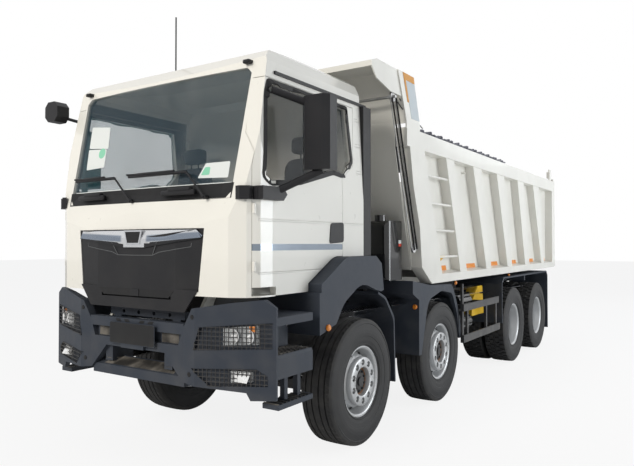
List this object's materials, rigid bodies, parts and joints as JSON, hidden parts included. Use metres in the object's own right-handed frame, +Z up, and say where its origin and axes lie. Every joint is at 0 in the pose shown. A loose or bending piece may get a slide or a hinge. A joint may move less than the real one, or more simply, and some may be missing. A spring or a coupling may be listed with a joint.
{
  "type": "dump truck",
  "caption": "Four-axle dump truck with a tilting cab, hinged doors, steered front axles, twin rear wheels, a tipping ribbed body with a canopy and a swinging tailgate.",
  "frame": {"origin": "on the ground, midway along the vehicle and midway between its sides", "axes": "+Z up, -Y out of the cab's front, +X to the vehicle's left side"},
  "size_m": [2.948, 8.81, 3.67],
  "materials": {
    "white_paint": "gloss cream white cab paint",
    "bed_paint": "semi-gloss cream body paint",
    "dark_trim": "grained dark slate plastic",
    "black_plastic": "satin black plastic",
    "chassis_paint": "satin black chassis paint",
    "cast_metal": "painted castings",
    "rim_paint": "silver wheel paint",
    "tyre": "road rubber",
    "screen_glass": "laminated glass",
    "lamp_glass": "clear lamp cover over chrome",
    "seat_fabric": "woven seat cloth",
    "tarp_fabric": "coated tarpaulin",
    "bright_steel": "plain steel",
    "chrome_rod": "polished cylinder stages",
    "tank_alloy": "plain alloy",
    "safety_yellow": "yellow wheel chock"
  },
  "bodies": {
    "chassis": {"axles": "cast_metal", "bumper": "dark_trim", "chocks": "safety_yellow", "engine": "cast_metal", "frame": "chassis_paint", "fuel_tank": "tank_alloy", "lamp_guards": "chassis_paint", "lamps": "lamp_glass", "mudguards": "dark_trim", "side_guards": "chassis_paint", "springs": "chassis_paint", "steps": "dark_trim", "tanks": "chassis_paint"},
    "wheel_one_left": {"tyre_axle_one_left": "tyre", "rim_axle_one_left": "rim_paint"},
    "knuckle_one_left": {"knuckle_axle_one_left": "cast_metal"},
    "wheel_one_right": {"tyre_axle_one_right": "tyre", "rim_axle_one_right": "rim_paint"},
    "knuckle_one_right": {"knuckle_axle_one_right": "cast_metal"},
    "wheel_two_left": {"tyre_axle_two_left": "tyre", "rim_axle_two_left": "rim_paint"},
    "knuckle_two_left": {"knuckle_axle_two_left": "cast_metal"},
    "wheel_two_right": {"tyre_axle_two_right": "tyre", "rim_axle_two_right": "rim_paint"},
    "knuckle_two_right": {"knuckle_axle_two_right": "cast_metal"},
    "wheel_three_left": {"tyre_axle_three_left": "tyre", "rim_axle_three_left": "rim_paint"},
    "wheel_three_right": {"tyre_axle_three_right": "tyre", "rim_axle_three_right": "rim_paint"},
    "wheel_four_left": {"tyre_axle_four_left": "tyre", "rim_axle_four_left": "rim_paint"},
    "wheel_four_right": {"tyre_axle_four_right": "tyre", "rim_axle_four_right": "rim_paint"},
    "cab": {"cab_arches": "dark_trim", "cab_interior": "black_plastic", "cab_shell": "white_paint", "cab_trim": "black_plastic", "grille": "black_plastic", "seats": "seat_fabric", "windscreen": "screen_glass"},
    "door_left": {"door_left": "white_paint", "door_glass_left": "screen_glass", "mirror_left": "black_plastic"},
    "door_right": {"door_right": "white_paint", "door_glass_right": "screen_glass", "mirror_right": "black_plastic"},
    "bed": {"bed_beams": "bed_paint", "bed_fittings": "bright_steel", "bed_floor": "bed_paint", "bed_front": "bed_paint", "bed_sides": "bed_paint", "tarp": "tarp_fabric", "tarp_drive": "bright_steel"},
    "tailgate": {"tailgate": "bed_paint"},
    "cylinder_barrel": {"cylinder_barrel": "chassis_paint"},
    "cylinder_stage_one": {"cylinder_stage_one": "chrome_rod"},
    "cylinder_stage_two": {"cylinder_stage_two": "chrome_rod"},
    "cylinder_stage_three": {"cylinder_stage_three": "chrome_rod"},
    "cylinder_stage_four": {"cylinder_stage_four": "chrome_rod"}
  },
  "joints": [
    {"name": "cab_tilt", "type": "hinge", "parent": "chassis", "child": "cab", "pos_m": [0, -4.185, 1.1], "axis": [1, 0, 0], "range_deg": [0, 60]},
    {"name": "door_left_swing", "type": "hinge", "parent": "cab", "child": "door_left", "pos_m": [1.085, -4.239, 2], "axis": [0, 0, -1], "range_deg": [0, 70]},
    {"name": "door_right_swing", "type": "hinge", "parent": "cab", "child": "door_right", "pos_m": [-1.085, -4.239, 2], "axis": [0, 0, 1], "range_deg": [0, 70]},
    {"name": "steer_one_left", "type": "hinge", "parent": "chassis", "child": "knuckle_one_left", "pos_m": [0.86, -2.845, 0.553], "axis": [0, 0, 1], "range_deg": [-35, 35]},
    {"name": "steer_one_right", "type": "hinge", "parent": "chassis", "child": "knuckle_one_right", "pos_m": [-0.86, -2.845, 0.553], "axis": [0, 0, 1], "range_deg": [-35, 35]},
    {"name": "steer_two_left", "type": "hinge", "parent": "chassis", "child": "knuckle_two_left", "pos_m": [0.86, -1.05, 0.553], "axis": [0, 0, 1], "range_deg": [-23.1, 23.1]},
    {"name": "steer_two_right", "type": "hinge", "parent": "chassis", "child": "knuckle_two_right", "pos_m": [-0.86, -1.05, 0.553], "axis": [0, 0, 1], "range_deg": [-23.1, 23.1]},
    {"name": "spin_one_left", "type": "hinge", "parent": "knuckle_one_left", "child": "wheel_one_left", "pos_m": [1.03, -2.845, 0.553], "axis": [1, 0, 0], "continuous": true},
    {"name": "spin_one_right", "type": "hinge", "parent": "knuckle_one_right", "child": "wheel_one_right", "pos_m": [-1.03, -2.845, 0.553], "axis": [1, 0, 0], "continuous": true},
    {"name": "spin_two_left", "type": "hinge", "parent": "knuckle_two_left", "child": "wheel_two_left", "pos_m": [1.03, -1.05, 0.553], "axis": [1, 0, 0], "continuous": true},
    {"name": "spin_two_right", "type": "hinge", "parent": "knuckle_two_right", "child": "wheel_two_right", "pos_m": [-1.03, -1.05, 0.553], "axis": [1, 0, 0], "continuous": true},
    {"name": "spin_three_left", "type": "hinge", "parent": "chassis", "child": "wheel_three_left", "pos_m": [1.072, 1.75, 0.553], "axis": [1, 0, 0], "continuous": true},
    {"name": "spin_three_right", "type": "hinge", "parent": "chassis", "child": "wheel_three_right", "pos_m": [-1.072, 1.75, 0.553], "axis": [1, 0, 0], "continuous": true},
    {"name": "spin_four_left", "type": "hinge", "parent": "chassis", "child": "wheel_four_left", "pos_m": [1.072, 3.15, 0.553], "axis": [1, 0, 0], "continuous": true},
    {"name": "spin_four_right", "type": "hinge", "parent": "chassis", "child": "wheel_four_right", "pos_m": [-1.072, 3.15, 0.553], "axis": [1, 0, 0], "continuous": true},
    {"name": "bed_tip", "type": "hinge", "parent": "chassis", "child": "bed", "pos_m": [0, 3.905, 1.12], "axis": [-1, 0, 0], "range_deg": [0, 50]},
    {"name": "tailgate_swing", "type": "hinge", "parent": "bed", "child": "tailgate", "pos_m": [0, 4.175, 3.03], "axis": [1, 0, 0], "range_deg": [0, 60]},
    {"name": "barrel_lean", "type": "hinge", "parent": "chassis", "child": "cylinder_barrel", "pos_m": [0, -2.285, 1], "axis": [-1, 0, 0], "range_deg": [0, 27.16]},
    {"name": "stage_one_slide", "type": "slide", "parent": "cylinder_barrel", "child": "cylinder_stage_one", "axis": [0, 0.0624, 0.9981], "range_m": [0, 1.2685]},
    {"name": "stage_two_slide", "type": "slide", "parent": "cylinder_stage_one", "child": "cylinder_stage_two", "axis": [0, 0.0624, 0.9981], "range_m": [0, 1.2685]},
    {"name": "stage_three_slide", "type": "slide", "parent": "cylinder_stage_two", "child": "cylinder_stage_three", "axis": [0, 0.0624, 0.9981], "range_m": [0, 1.2685]},
    {"name": "stage_four_slide", "type": "slide", "parent": "cylinder_stage_three", "child": "cylinder_stage_four", "axis": [0, 0.0624, 0.9981], "range_m": [0, 1.2685]}
  ],
  "couplings": [
    {"joint": "steer_one_right", "follows": "steer_one_left", "ratio": 1},
    {"joint": "steer_two_left", "follows": "steer_one_left", "ratio": 0.66},
    {"joint": "steer_two_right", "follows": "steer_one_left", "ratio": 0.66},
    {"joint": "barrel_lean", "follows": "bed_tip", "ratio": 0.54293},
    {"joint": "stage_one_slide", "follows": "bed_tip", "m_per_rad": 1.4524},
    {"joint": "stage_two_slide", "follows": "bed_tip", "m_per_rad": 1.4524},
    {"joint": "stage_three_slide", "follows": "bed_tip", "m_per_rad": 1.4524},
    {"joint": "stage_four_slide", "follows": "bed_tip", "m_per_rad": 1.4524}
  ]
}
